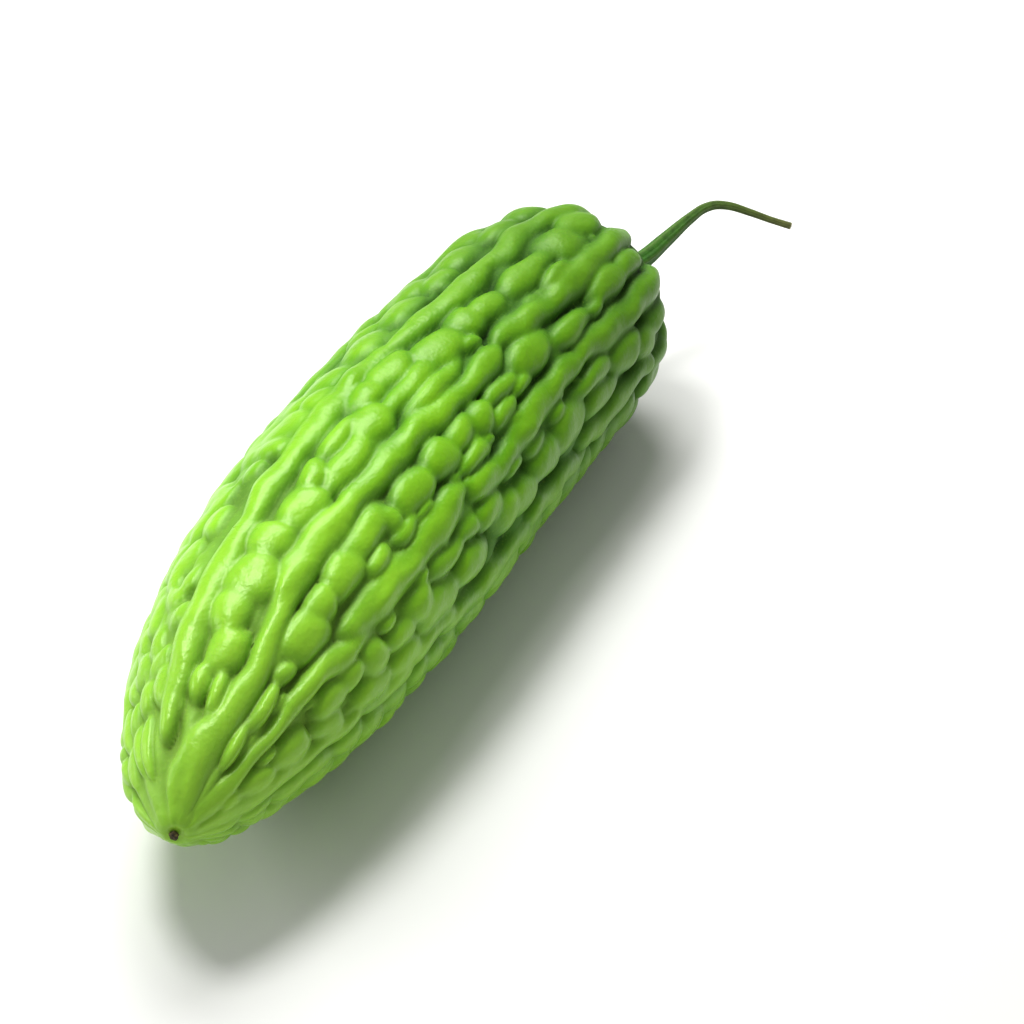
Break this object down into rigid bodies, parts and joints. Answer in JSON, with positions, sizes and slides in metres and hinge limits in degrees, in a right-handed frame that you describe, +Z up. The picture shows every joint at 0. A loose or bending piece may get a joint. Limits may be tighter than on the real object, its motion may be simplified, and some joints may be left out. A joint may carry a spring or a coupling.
{
  "type": "bitter gourd",
  "caption": "Whole bitter gourd lying on its side: a tapered, ridged and warty green fruit with a short cut stalk at one end and the dry flower remnant at the tip.",
  "frame": {"origin": "on the surface the gourd rests on, below the middle of its whole length and width with the stalk", "axes": "+X along the fruit from the tip to the stalk, +Y to the outer side of its slight bend, +Z up"},
  "size_m": [0.2993, 0.0826, 0.0705],
  "materials": {
    "green_skin": "fresh waxy green skin, paler on the crests",
    "green_stalk": "fresh fibrous green stalk",
    "brown_remnant": "dry brown flower remnant"
  },
  "bodies": {
    "root": {"fruit": "green_skin", "stem": "green_stalk", "blossom_scar": "brown_remnant"}
  },
  "joints": []
}
